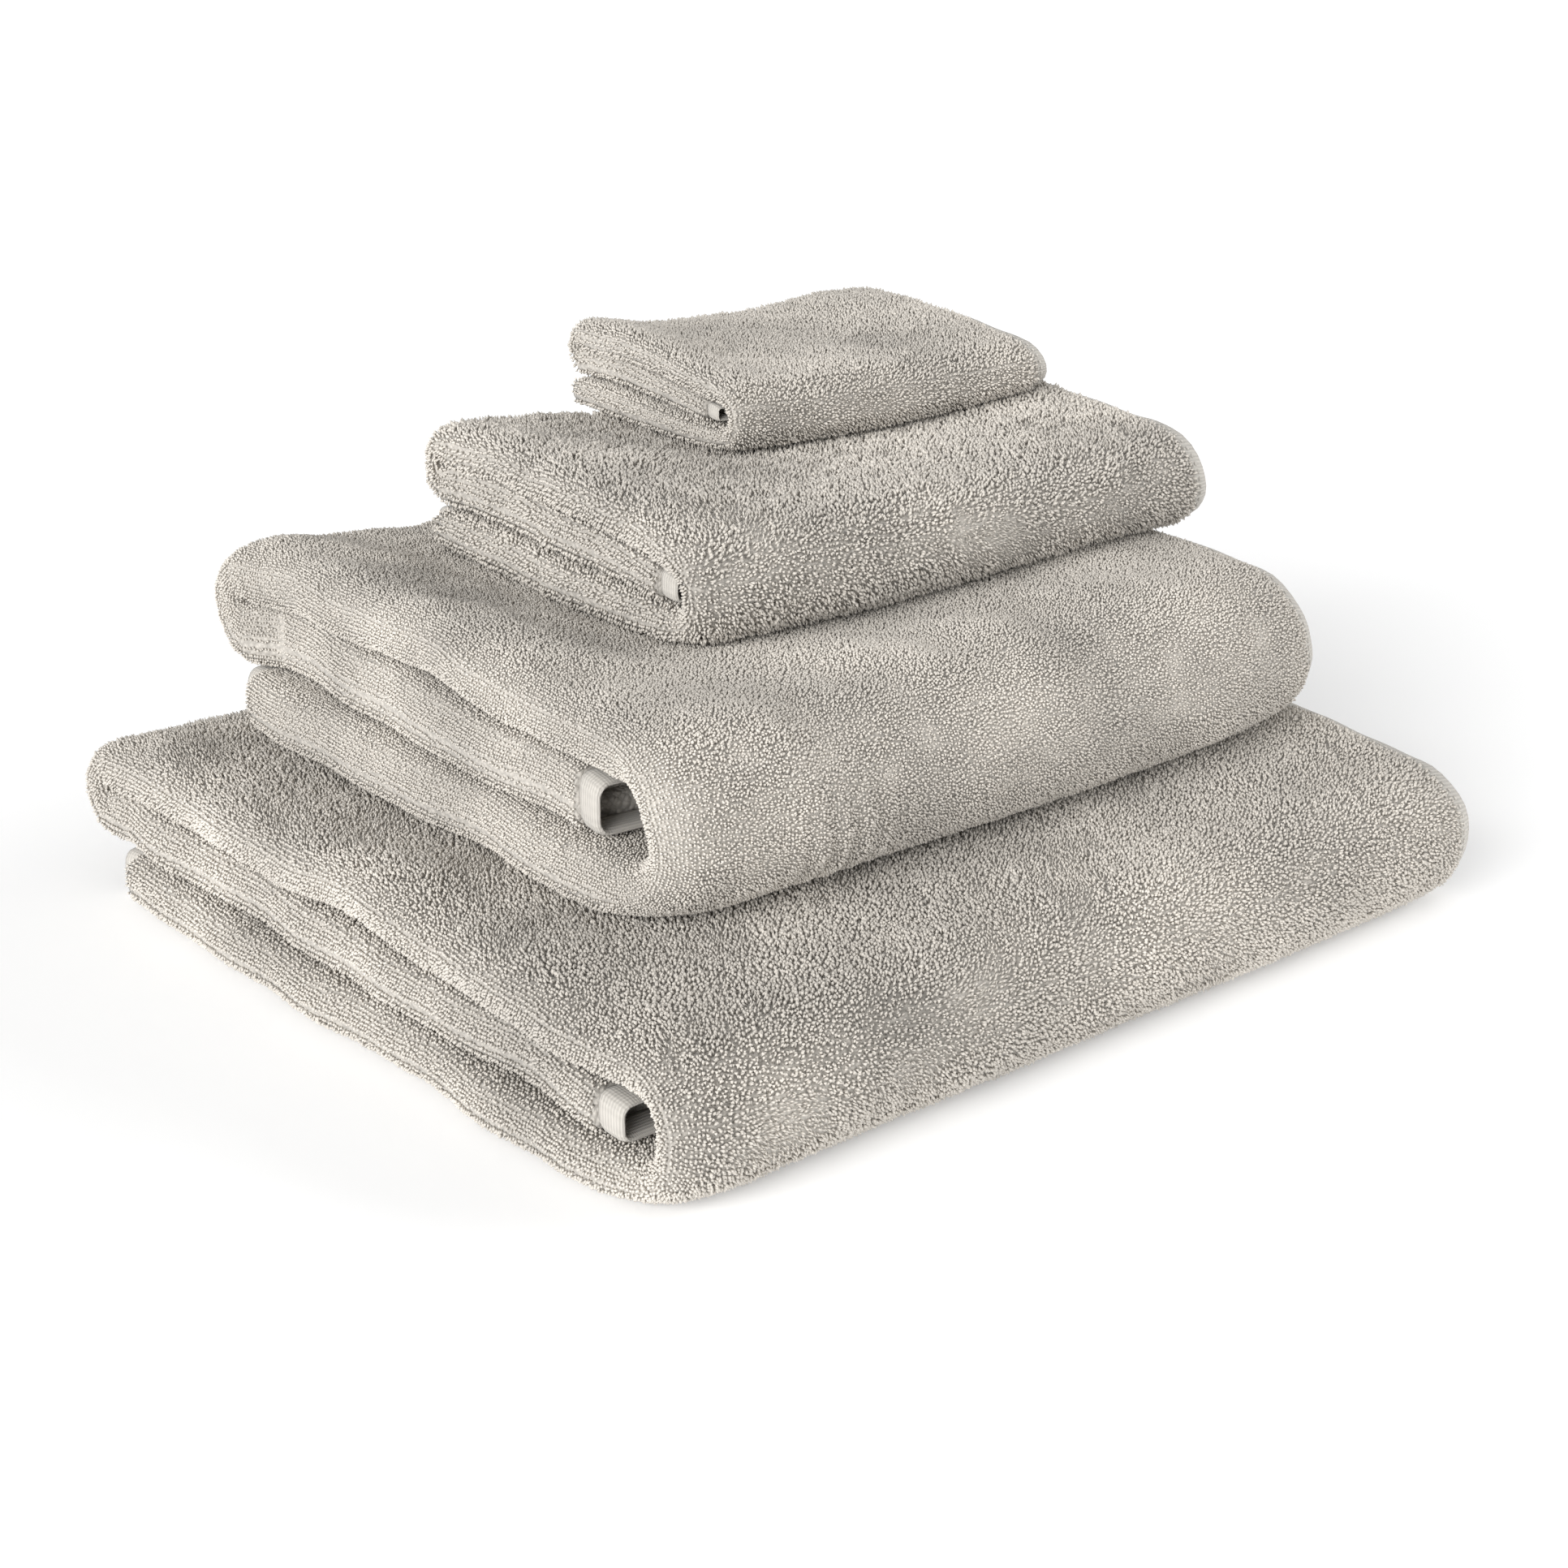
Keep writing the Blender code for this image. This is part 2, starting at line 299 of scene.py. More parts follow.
def lay_out(towel, route, along, h):
    """Points (stations, outline, 3) of a towel at distances along from the lip and h off the middle.

    The folded middle line gives across and up, the hills and hollows of this towel and of the one
    below lift them in proportion to the height, and ripples push the band along its outward side,
    least where it lies on another layer.
    """
    place, fold, size = towel.place, towel.fold, towel.fold.size
    s = route["s"][:, None]
    out_across = route["out_across"][:, None]
    out_up = route["out_up"][:, None]
    wander = sum(share * np.sin(s / long + start * place) for long, share, start in LIP_KEYS)
    knots = [fold.ends[end] + beyond for end, beyond in SHIFT_KNOTS]
    near_lip = np.exp(-np.maximum(along, 0.0) / LIP_REACH)
    near_end = np.exp(-np.maximum(size["length"] - along, 0.0) / END_SHIFT_REACH)
    from_lip = along + near_lip * (LIP_WAVE[place] * wander + np.interp(s, knots, LIP_SHIFTS[place]))
    from_lip = from_lip + near_end * np.interp(s, knots[:5], END_SHIFTS[place])
    across = route["across"][:, None] + h * out_across
    up = route["up"][:, None] + h * out_up
    x, y = turned(size["left"] + from_lip + 0 * across, across, -size["turn"])
    share = np.clip((up - size["base"]) / size["height"], 0.0, 1.0)
    z = up + share * top_shift(place, x, y) + (1 - share) * top_shift(place - 1, x, y)
    points = np.stack([x, y, z], axis=-1)
    push = sum(share * ripple(points, wave, seed + place) for wave, share, seed in RIPPLE_KEYS)
    pressed = smooth_step(covered_by(place, x, y), *PRESSED) * (out_up > 0.5)
    push = RIPPLES[place] * push * smooth_step(out_up, *HANGING) * (1 - pressed)
    way_up = np.clip((s - fold.ends[0]) / (fold.ends[1] - fold.ends[0]), 0, 1)
    middle, reach, way_up_middle, way_up_reach = CREASE_PATCH
    patch = np.exp(-(((from_lip - middle) / reach) ** 2) - ((way_up - way_up_middle) / way_up_reach) ** 2)
    folds = np.sin(2 * math.pi * (from_lip + CREASE_LEAN * way_up) / CREASE_WAVE)
    round_depth, round_reach = END_ROUNDS[place]
    rounded = np.clip((from_lip + round_reach - size["length"]) / round_reach, 0.0, 1.1)
    push = push + CREASES[place] * patch * folds - round_depth * rounded**2 * np.sin(math.pi * way_up)
    points[..., 0] -= push * math.sin(size["turn"]) * out_across
    points[..., 1] += push * math.cos(size["turn"]) * out_across
    points[..., 2] += push * out_up
    if place == 0:
        points[..., 2] = np.maximum(points[..., 2], FLOOR_AIR)
    return points


# ------------------------------------------------------------------------------ making meshes


def make_mesh(name, points, faces, material, uv=None, values=None):
    """Puts points and faces into a new smooth mesh object; faces is a list of arrays, one per size.

    uv gives one place per point. values maps an attribute's name to one number per point.
    """
    mesh = bpy.data.meshes.new(name)
    starts, loops = [], []
    count = 0
    for group in faces:
        group = np.asarray(group, dtype=np.int32)
        starts.append(count + np.arange(len(group)) * group.shape[1])
        loops.append(group.ravel())
        count += group.size
    corners = np.concatenate(loops)
    mesh.vertices.add(len(points))
    mesh.vertices.foreach_set("co", np.ascontiguousarray(points, dtype=np.float32).ravel())
    mesh.loops.add(len(corners))
    mesh.loops.foreach_set("vertex_index", corners)
    mesh.polygons.add(sum(len(group) for group in faces))
    mesh.polygons.foreach_set("loop_start", np.concatenate(starts).astype(np.int32))
    mesh.update(calc_edges=True)
    if uv is not None:
        layer = mesh.uv_layers.new(name="OFBake")
        layer.uv.foreach_set("vector", np.asarray(uv, dtype=np.float32)[corners].ravel())
    for key, numbers in (values or {}).items():
        made = mesh.attributes.new(key, "FLOAT", "POINT")
        made.data.foreach_set("value", np.asarray(numbers, dtype=np.float32).ravel())
    mesh.materials.append(material)
    mesh.shade_smooth()
    item = bpy.data.objects.new(name, mesh)
    bpy.context.collection.objects.link(item)
    return item


# ---------------------------------------------------------------------------------- the folded cloth


FREE_POWER = 2.2  # roundness of a free lip: 2 is a half circle, and more is squarer
TIGHT_POWER = 4.0  # the same where two layers lie on each other
POWERS_OUT = (2.6,) + 5 * (FREE_POWER,) + 2 * (TIGHT_POWER,)
POWERS_IN = (2.8, 2.4, 2.4) + 5 * (TIGHT_POWER,)
SHOULDERS_OUT = (0.0, 1.0, 1.0, 1.0, 1.0, 0.7, 0.0, 0.0)  # share of the shoulder that is open
SOFT = 0.012  # half the length over which the lip's shape goes from one stretch to the next
CLOSING_RUN = (0.050, 0.010, 0.08)  # closing's fade and start beside the back fold, and its depth


class Section:
    """The cut across a doubled cloth: a middle line from the upper ply round the lip to the lower.

    A place c along it runs from the upper ply's terry edge. The line lies mid off the doubled
    cloth's own middle and turns round the lip in a half circle.
    """

    def __init__(self, fold, right, ply, slot, style):
        self.fold = fold
        self.ply = ply
        self.mid = slot + ply / 2
        self.centre = self.mid + ply / 2
        self.flat = right - self.centre
        self.total = 2 * self.flat + math.pi * self.mid
        self.style = style
        self.knots = np.repeat(fold.ends[:4], 2) + SOFT * np.array([-1, 1, -1, 1, -1, 1, -0.5, 1])

    def at(self, c):
        """Middle-line point (along, h) and outward direction (along, h) at places c."""
        turn = math.pi / 2 + np.clip((c - self.flat) / self.mid, 0.0, math.pi)
        beyond = np.maximum(c - (self.total - self.flat), 0.0)
        before = np.maximum(self.flat - c, 0.0)
        along = self.centre + self.mid * np.cos(turn) + before + beyond
        return along, self.mid * np.sin(turn), np.cos(turn), np.sin(turn)

    def side(self, c):
        """1 on the upper ply, 0 round the lip and -1 on the lower ply."""
        return np.where(c <= self.flat, 1, np.where(c < self.total - self.flat, 0, -1))

    def edge_share(self, c):
        """Thickness share near the cloth's long edges, a quarter ellipse from the hem's thickness."""
        from_edge = np.minimum(c, self.total - c) + self.fold.size["side_hem"]
        return quarter_round(from_edge / self.style["edge_reach"], self.style["hem_share"])

    def skin(self, s, c, offset):
        """Places (along, h) of a skin that lies offset from the middle line, at places s and c.

        Round the lip the half circle is squared up, as a superellipse whose power is high where a
        layer lies on the next one and low where it is free. On free outward faces the skin then
        falls in a parabola towards the lip, as a soft shoulder. Near the back fold the inward face
        swells so that the two layers close up.
        """
        along, h, out_along, out_h = self.at(c)
        power_out = np.interp(s, self.knots, POWERS_OUT)
        power = np.where(out_h > 0, power_out, np.interp(s, self.knots, POWERS_IN))
        square = (np.abs(out_along) ** power + np.abs(out_h) ** power) ** (-1 / power)
        lip = (c > self.flat) & (c < self.total - self.flat)
        radius = self.mid + offset
        along = np.where(lip, self.centre + square * radius * out_along, along)
        h = np.where(lip, square * radius * out_h, h + out_h * offset)
        shoulder = self.style["shoulder"] * np.interp(s, self.knots, SHOULDERS_OUT)
        t = np.clip(1 - along / self.style["shoulder_reach"], 0.0, 1.0)
        h = h - shoulder * t * t * np.clip(h / radius, 0.0, 1.0)
        back, back_end = self.fold.ends[2:4]
        fade, begin, depth = CLOSING_RUN
        beside = np.maximum(np.maximum(back - s, s - back_end), 0.0)
        closing = self.style["closing"] * np.exp(-((beside / fade) ** 2)) * smooth_step(beside, 0.0, begin)
        closing = closing * np.clip(-h / radius, 0.0, 1.0)
        return along, h - closing * np.clip(1 - along / depth, 0.0, 1.0)


def ring_mesh(name, points, route, around, along, material):
    """Joins stations of one closed outline into a tube with flat ends, and makes the piece.

    The places s and along the cloth go with each point, and the baking map is route by outline.
    """
    stations, count = points.shape[:2]
    row = np.arange(stations - 1)[:, None] * count
    here = np.arange(count)[None, :]
    beside = (here + 1) % count
    quads = np.stack([row + here, row + here + count, row + beside + count, row + beside], axis=-1)
    first = np.arange(count)[None, :]
    last = (stations - 1) * count + np.arange(count)[::-1][None, :]
    s = (route["s"] - route["s"][0]) / (route["s"][-1] - route["s"][0])
    uv = np.stack(np.broadcast_arrays(s[:, None], around[None, :]), axis=-1).reshape(-1, 2)
    runs = {
        "run_s": np.broadcast_to(route["s"][:, None], (stations, count)),
        "run_x": np.broadcast_to(along, (stations, count)),
    }
    groups = [quads.reshape(-1, 4), first, last]
    return make_mesh(name, points.reshape(-1, 3), groups, material, 0.01 + 0.98 * uv, runs)


INSET_FADE = 0.03  # how fast a set-back lip comes level with the cloth again


def make_doubled(name, towel, route, places, outer, inner, inset, material):
    """A doubled cloth as one closed sheet: an outer skin and an inner skin off the middle line.

    The skins lie outer and inner (stations, places) off the line. The lip is set back by inset,
    which fades away from the lip.
    """
    section = towel.section
    s = route["s"][:, None]
    skins = []
    for offset in (outer, inner):
        along, h = section.skin(s, places[None, :], offset)
        skins.append(lay_out(towel, route, along + inset * np.exp(-along / INSET_FADE), h))
    points = np.concatenate([skins[0], skins[1][:, ::-1]], axis=1)
    around = np.concatenate([0.5 * places, section.total - 0.5 * places[::-1]]) / section.total
    along = section.at(places)[0]
    both = np.concatenate([along, along[::-1]])
    return ring_mesh(name, points, route, around, both, material)


TAPE_POINTS = 6  # across a side tape's face
TAPE_START = 0.0005  # its distance from the cloth's edge
TAPE_SINK = 0.0002  # how far its face lies below the terry's own


def make_side_tape(name, towel, route, sign, material):
    """A tape along the cloth's long edge, which goes on round the edge's rounding.

    Its outer face follows the terry's own thickness share down to the edge, and its inner face lies
    a tape's thickness further in.
    """
    section, thick, size = towel.section, towel.hem_thick, towel.fold.size
    width = size["side_hem"]
    d = np.linspace(TAPE_START, width, TAPE_POINTS)
    rise = section.ply / 2 * section.edge_share(d - width)
    inner = np.maximum(rise - thick, -0.45 * thick)
    along = size["length"] - d
    h = np.concatenate([rise - TAPE_SINK, inner[::-1]]) + section.mid
    along = np.concatenate([along, along[::-1]])
    outline = np.stack([along, sign * h], axis=1)
    if sign < 0:
        outline = outline[::-1]
    points = lay_out(towel, route, outline[None, :, 0], outline[None, :, 1])
    around = np.arange(len(outline)) / len(outline)
    return ring_mesh(name, points, route, around, outline[:, 0], material)


# ------------------------------------------------------------------------------------------ the pile


OVERHANG = (0.030, 0.022, 0.015, 0.0)  # how far under the towel above the pile is still seen
SIGHT = {"lip": 0.026, "right": 0.012, "hem": 0.020, "spine": 0.010, "back": 0.045,
         "inside": 0.034, "inside_spine": 0.060}  # how far in from each opening it is seen elsewhere


def seen(towel, route, along, side, x, y):
    """Whether loops at these places can be seen from anywhere round the stack.

    side is 1 on the band's outward face, 0 round its lip and -1 on its inward face.
    """
    size, s, part = towel.fold.size, route["s"], route["part"]
    near_right = along > size["length"] - size["side_hem"] - SIGHT["right"]
    near_end = (part == 0) & (s < size["end_hem"] + SIGHT["hem"])
    top_open = (part == 2) & (covered_by(towel.place, x, y) < OVERHANG[towel.place])
    near_spine = towel.fold.ends[0] - s < SIGHT["spine"]
    bottom_open = (part == 0) & (near_spine | (along < SIGHT["lip"]) | near_right)
    behind = (part == 4) & (along < SIGHT["back"])
    outward = bottom_open | (part == 1) | top_open | (part == 3) | behind | ((part == 4) & near_right)
    inward = (along < SIGHT["inside"]) | near_right | near_end | behind
    inward = inward | ((part == 1) & (along < SIGHT["inside_spine"]))
    return np.where(side > 0, outward, np.where(side < 0, inward, True))


def on_route(route, s):
    """The route's values at any arc lengths, each read by straight interpolation."""
    found = {"s": s}
    for key in ("across", "up", "out_across", "out_up"):
        found[key] = np.interp(s, route["s"], route[key])
    near = np.searchsorted(route["s"], s).clip(0, len(route["s"]) - 1)
    found["part"] = route["part"][near]
    return found


def one_by_one(towel, route, s, c):
    """Points of the terry's outer skin at single places (s, c), kept within the cloth."""
    s = np.clip(s, route["s"][0], route["s"][-1])
    c = np.clip(c, 0.0, towel.section.total)
    along, h = towel.section.skin(s, c, towel.half_terry(s, c))
    return lay_out(towel, on_route(route, s), along[:, None], h[:, None])[:, 0]


FINE_POINTS = 3000  # over which the length round the cloth's cut is measured
PROBE = 0.0008  # length of the short steps that find the skin's own directions
JITTER = 0.18  # how far a loop stands off its place in the row, as a share of the spacing


def scatter(towel, route, spacing, draw):
    """Places (s, c) of loops in even rows over the outer skin.

    The rows run along the route, one spacing apart on the skin itself. In each row the loops stand
    one spacing apart along the row's own bent length from a seeded start, and each is moved off its
    place by a seeded share of the spacing.
    """
    section = towel.section
    fine = np.linspace(0.0, section.total, FINE_POINTS)
    along, h = section.skin(np.full_like(fine, section.knots[3]), fine, section.ply / 2)
    girth = np.concatenate([[0.0], np.cumsum(np.hypot(np.diff(along), np.diff(h)))])
    rows = np.interp(np.arange(spacing / 2, girth[-1], spacing), girth, fine)
    along, h = section.skin(route["s"][:, None], rows[None, :], section.ply / 2)
    steps = np.linalg.norm(np.diff(lay_out(towel, route, along, h), axis=0), axis=2)
    lengths = np.concatenate([np.zeros((1, len(rows))), np.cumsum(steps, axis=0)])
    starts = draw.uniform(0.1, 1.1, len(rows)) * spacing
    marks = [np.arange(start, length, spacing) for start, length in zip(starts, lengths[-1])]
    s = np.concatenate([np.interp(mark, lengths[:, k], route["s"]) for k, mark in enumerate(marks)])
    c = np.repeat(rows, [len(mark) for mark in marks])
    squeeze = np.interp(c, rows, np.gradient(rows)) / spacing
    s = np.clip(s + draw.uniform(-JITTER, JITTER, len(s)) * spacing, route["s"][0], route["s"][-1])
    c = np.clip(c + draw.uniform(-JITTER, JITTER, len(c)) * spacing * squeeze, 0.0, section.total)
    return s, c


def unit(vectors):
    """The same vectors at length 1."""
    return vectors / np.maximum(np.linalg.norm(vectors, axis=1, keepdims=True), 1e-12)


def grow_pile(towel, route, spacing, draw, under=False):
    """Roots, outward normals and row directions of one towel's loops, and the part each stands on.

    The loops stand where they are seen in the stack, or only under the towel above. The normal is
    the cross product of two short steps on the skin, along the route and across it.
    """
    s, c = scatter(towel, route, spacing, draw)
    roots = one_by_one(towel, route, s, c)
    here, side = on_route(route, s), towel.section.side(c)
    x, y = roots[:, 0], roots[:, 1]
    if under:
        keep = (side > 0) & (here["part"] == 2) & (covered_by(towel.place, x, y) >= OVERHANG[towel.place])
    else:
        keep = seen(towel, here, towel.section.at(c)[0], side, x, y)
    s, c = s[keep], c[keep]
    s_way = one_by_one(towel, route, s + PROBE, c) - one_by_one(towel, route, s - PROBE, c)
    c_way = one_by_one(towel, route, s, c + PROBE) - one_by_one(towel, route, s, c - PROBE)
    return roots[keep], unit(np.cross(s_way, c_way)), unit(s_way), here["part"][keep], side[keep]


def own_cells(count, spots):
    """Map places of many small like pieces: each has its own square cell of the map."""
    grid = int(math.ceil(math.sqrt(count)))
    cell = np.stack([np.arange(count) % grid, np.arange(count) // grid], axis=1)[:, None, :]
    return ((cell + 0.5 + np.array(spots)[None]) / grid).reshape(-1, 2)


def repeat_faces(count, points_each, faces):
    """The faces of one small piece, repeated for each of count like pieces."""
    base = (np.arange(count) * points_each)[:, None, None]
    return (base + np.asarray(faces)[None]).reshape(-1, len(faces[0]))


LAY_FIELD = (0.11, 0.047)  # wavelengths of the lay along the rows and of the lay across them
TALL_FIELD = 0.014  # wavelength of the patches of higher and lower loops
GAP_FIELD = ((0.055, 1.0, 13), (0.013, 0.7, 17))  # wavelength, share and seed of the open patches
LEAST_RISE = 0.35  # the least that a leaning loop still points outwards
FOOT, BELLY = 0.25, 0.62  # depth of a loop's foot and height of its belly, as shares of its height
LOOP_FACES = [(1, 2, 4), (2, 3, 4), (3, 1, 4), (2, 1, 0), (3, 2, 0), (1, 3, 0)]
# how far up each of a loop's points stands, foot, belly and crown, which sets the painted shade towards the
# root colour
LOOP_LIFT = (0.0, 0.75, 0.75, 0.75, 1.0)
LOOP_CELL = [(0.0, 0.46), (-0.46, -0.40), (0.46, -0.40), (0.0, 0.20), (0.0, -0.16)]


def make_loops(name, roots, normals, rows, look, draw, material):
    """One small closed tuft of yarn per root: a foot point, a three-sided belly and a crown point.

    Its stem leans by the local lay of the pile, a smooth field, by its own weight where the cloth
    stands upright, and by a seeded turn of its own, so loops lie over as short strokes.
    """
    count = len(roots)
    seed = look["seed"]
    sideways = np.cross(normals, rows)
    lay = (0.5 + 0.5 * ripple(roots, LAY_FIELD[0], seed))[:, None] * rows
    lay = lay + 0.8 * ripple(roots, LAY_FIELD[1], seed + 5)[:, None] * sideways
    own = draw.normal(size=(count, 1)) * rows + draw.normal(size=(count, 1)) * sideways
    stem = normals + look["lay"] * lay + look["stray"] * own
    stem[:, 2:3] -= look["hang"] * (1 - np.abs(normals[:, 2:3]))
    stem = unit(stem)
    outward = (stem * normals).sum(axis=1, keepdims=True)
    stem = unit(stem + np.maximum(LEAST_RISE - outward, 0.0) * normals)
    spin = draw.uniform(0, math.pi, count)[:, None]
    first = np.cos(spin) * rows + np.sin(spin) * sideways
    first = unit(first - (first * stem).sum(axis=1, keepdims=True) * stem)
    second = np.cross(stem, first)
    tall = look["height"] * draw.uniform(0.75, 1.2, count)[:, None]
    tall = tall * (1 + look["patchy"] * ripple(roots, TALL_FIELD, seed + 9)[:, None])
    wide = look["width"] * draw.uniform(0.85, 1.15, count)[:, None]
    open_pile = sum(share * ripple(roots, wave, seed + more) for wave, share, more in GAP_FIELD)
    wide = wide * (1 - look["gaps"] * np.clip(open_pile, 0.0, 1.2))[:, None]
    belly = [first * math.cos(turn) + second * math.sin(turn) for turn in 2 * math.pi / 3 * np.arange(3)]
    points = np.stack([
        roots - stem * tall * FOOT,
        *(roots + stem * tall * BELLY + across * wide for across in belly),
        roots + (stem * 0.85 + normals * 0.15) * tall,
    ], axis=1)
    points[..., 2] = np.maximum(points[..., 2], FLOOR_AIR)
    # lift sets how much painted shade darkens each point towards the root colour; tone is each loop's own
    # tone
    marks = {"lift": np.tile(LOOP_LIFT, count), "tone": np.repeat(draw.uniform(0, 1, count), 5)}
    faces = [repeat_faces(count, 5, LOOP_FACES)]
    return make_mesh(name, points.reshape(-1, 3), faces, material, own_cells(count, LOOP_CELL), marks)


# -------------------------------------------------------------------------------------- the stitches


STITCH_PITCH = 0.0034
STITCH_LENGTH = 0.0026
STITCH_THICK = 0.0004
STITCH_INSETS = (0.0012, 0.0036)  # of the two rows, from the tape's inner edge
STITCH_RINGS_AT, STITCH_TIPS_AT = (-0.28, 0.28), (-0.5, 0.5)  # in lengths from its middle
TIP_DEPTH = 0.6  # how far its tips dive, in thicknesses
STITCH_RING = ((1, -0.3), (0, 1), (-1, -0.3), (0, -0.8))  # aside and up, in thicknesses
STITCH_SIDES = [(0, 1, 5, 4), (1, 2, 6, 5), (2, 3, 7, 6), (3, 0, 4, 7)]
STITCH_TIPS = [(0, 8, 1), (1, 8, 2), (2, 8, 3), (3, 8, 0), (5, 9, 4), (6, 9, 5), (7, 9, 6), (4, 9, 7)]


def make_stitches(name, middles, ways, normals, material):
    """One small closed stitch per place: two flattened square rings between two points."""
    count = len(middles)
    sideways = np.cross(normals, ways)
    rings = [middles + ways * shift * STITCH_LENGTH + (sideways * aside + normals * rise) * STITCH_THICK
             for shift in STITCH_RINGS_AT for aside, rise in STITCH_RING]
    tips = [middles + ways * shift * STITCH_LENGTH - normals * TIP_DEPTH * STITCH_THICK
            for shift in STITCH_TIPS_AT]
    points = np.stack(rings + tips, axis=1).reshape(-1, 3)
    faces = [repeat_faces(count, 10, STITCH_SIDES), repeat_faces(count, 10, STITCH_TIPS)]
    square = np.array([(-1, -1), (1, -1), (1, 1), (-1, 1)])
    spots = np.concatenate([0.42 * square, 0.22 * square, [(0.47, 0.0), (-0.05, 0.05)]])
    return make_mesh(name, points, faces, material, own_cells(count, spots))


# ------------------------------------------------------------------------------------- the settings


def per_towel(name, description, default, low, high, unit="LENGTH"):
    """A setting with one value per towel, from the bottom up."""
    return bpy.props.FloatVectorProperty(
        name=name, description=description, default=default, size=4, min=low, max=high, unit=unit)


def colour(name, description, default):
    """A colour setting."""
    return bpy.props.FloatVectorProperty(
        name=name, description=description, default=default, size=3, min=0.0, max=1.0, subtype="COLOR")


class TowelSizes(bpy.types.PropertyGroup):
    """Sizes of the cloth and its pile, one value per towel from the bottom up."""

    panel_gap: per_towel("Gap between layers", "Air left between one folded layer and the next",
                         (0.0006, 0.0008, 0.0006, 0.0005), 0.0, 0.01)
    ply_gap: per_towel("Gap between plies", "Air left between the two plies of a doubled cloth",
                       (0.0012, 0.0014, 0.0010, 0.0008), 0.0, 0.01)
    tuck: per_towel("Hollow behind the spine", "How far the inner end stops short of the spine",
                    (0.005, 0.016, -0.003, 0.002), -0.01, 0.03)
    hem_share: per_towel("Hem thickness", "Thickness of the hems as a share of one ply",
                         (0.32, 0.25, 0.36, 0.42), 0.1, 1.0, "NONE")
    edge_reach: per_towel("Edge rounding", "How far in from its long edges the cloth thins",
                          (0.020, 0.024, 0.016, 0.011), 0.002, 0.05)
    shoulder: per_towel("Shoulder", "How much the free faces fall towards the folded lip",
                        (0.006, 0.008, 0.004, 0.0025), 0.0, 0.02)
    loop_spacing: per_towel("Loop spacing", "Distance from one loop of the pile to the next",
                            (0.00166, 0.00150, 0.00172, 0.00150), 0.001, 0.01)
    loop_height: per_towel("Loop height", "How far the loops stand off the ground cloth",
                           (0.0026, 0.0020, 0.0030, 0.0026), 0.0005, 0.01)
    loop_width: per_towel("Loop width", "Half the width of a loop's belly",
                          (0.00084, 0.00075, 0.00085, 0.00071), 0.0003, 0.004)
    stray: per_towel("Stray", "How much each loop leans its own way",
                     (0.36, 0.30, 0.42, 0.32), 0.0, 2.0, "NONE")


class TowelColours(bpy.types.PropertyGroup):
    """Colours of the yarns and of the floor; the loop roots' colour is painted shade, darker than the crowns.
    """

    crown: colour("Loop crowns", "The pile at the crowns of its loops", (0.585, 0.549, 0.498))
    # the roots' colour is the crowns' darkened by painted shade deep in the pile
    root: colour("Loop roots", "The pile down between its loops", (0.53, 0.500, 0.455))
    hem: colour("Hems", "The flat woven hems", (0.465, 0.441, 0.403))
    thread: colour("Sewing thread", "The stitches", (0.54, 0.516, 0.478))
    floor: colour("Floor", "The floor under the stack", (0.92, 0.92, 0.92))


SHED = 0.55  # share of the loops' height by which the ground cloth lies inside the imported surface
STATION_STEP = 0.008  # between the stations along the terry
OUTLINE_STEP = 0.013  # between the points across it
EDGE_POINTS = 6  # over the rounding at each long edge
LIP_INSETS = (0.027, 0.019, 0.012, 0.006)  # of the closer points before the lip
LIP_POINTS, HEM_LIP_POINTS = 15, 13  # round the lip of the terry and of its end hems
HEM_STEP, TAPE_STEP = 0.003, 0.005  # between the stations along an end hem and a side tape
END_REACH = 0.006  # how far from the end hems the terry starts to thin towards them
END_LEAST = 0.90  # share of the thickness that it keeps beside them


class Towel:
    """One towel as the settings give it: its fold, the cut across its cloth and its thicknesses."""

    def __init__(self, place):
        sizes = bpy.context.scene.towel_sizes
        size, ply_gap, shoulder = SIZES[place], sizes.ply_gap[place], sizes.shoulder[place]
        self.place = place
        self.fold = Fold(size, sizes.panel_gap[place], sizes.tuck[place])
        shed = SHED * sizes.loop_height[place]
        ply = self.fold.half - ply_gap / 2 - shed
        style = {
            "hem_share": sizes.hem_share[place], "edge_reach": sizes.edge_reach[place],
            "shoulder": shoulder, "shoulder_reach": 4.5 * shoulder + 0.004,
            "closing": shed + 0.5 * sizes.panel_gap[place] + 0.001,
        }
        right = size["length"] - size["side_hem"] - REST_GAP
        self.section = Section(self.fold, right, ply, ply_gap / 2, style)
        self.hem_thick = sizes.hem_share[place] * ply
        self.terry_start = size["end_hem"] + REST_GAP
        self.terry_end = self.fold.total - self.terry_start

    def terry_route(self):
        """Stations of the terry, which lies between the two end hems."""
        return self.fold.route(STATION_STEP, self.terry_start, self.terry_end)

    def half_terry(self, s, c):
        """Half the terry's thickness at places s along it and c across it."""
        near = np.minimum(s - self.terry_start, self.terry_end - s) / END_REACH
        return self.section.ply / 2 * self.section.edge_share(c) * quarter_round(near, END_LEAST)


# ------------------------------------------------------------------------------------- the finishes


def new_group(name, inputs, outputs):
    """A shader node group with the given sockets, each (name, socket type, default)."""
    group = bpy.data.node_groups.new(name, "ShaderNodeTree")
    for socket, kind, default in inputs:
        made = group.interface.new_socket(socket, in_out="INPUT", socket_type=kind)
        made.default_value = default
    for socket, kind in outputs:
        group.interface.new_socket(socket, in_out="OUTPUT", socket_type=kind)
    return group, group.nodes.new("NodeGroupInput"), group.nodes.new("NodeGroupOutput")


def add_node(tree, kind, **settings):
    """Adds a node and sets its own properties."""
    node = tree.nodes.new(kind)
    for key, value in settings.items():
        setattr(node, key, value)
    return node


def set_inputs(node, **values):
    """Sets a node's sockets; a name holds _ where its socket's has a space."""
    for socket, value in values.items():
        node.inputs[socket.replace("_", " ")].default_value = value


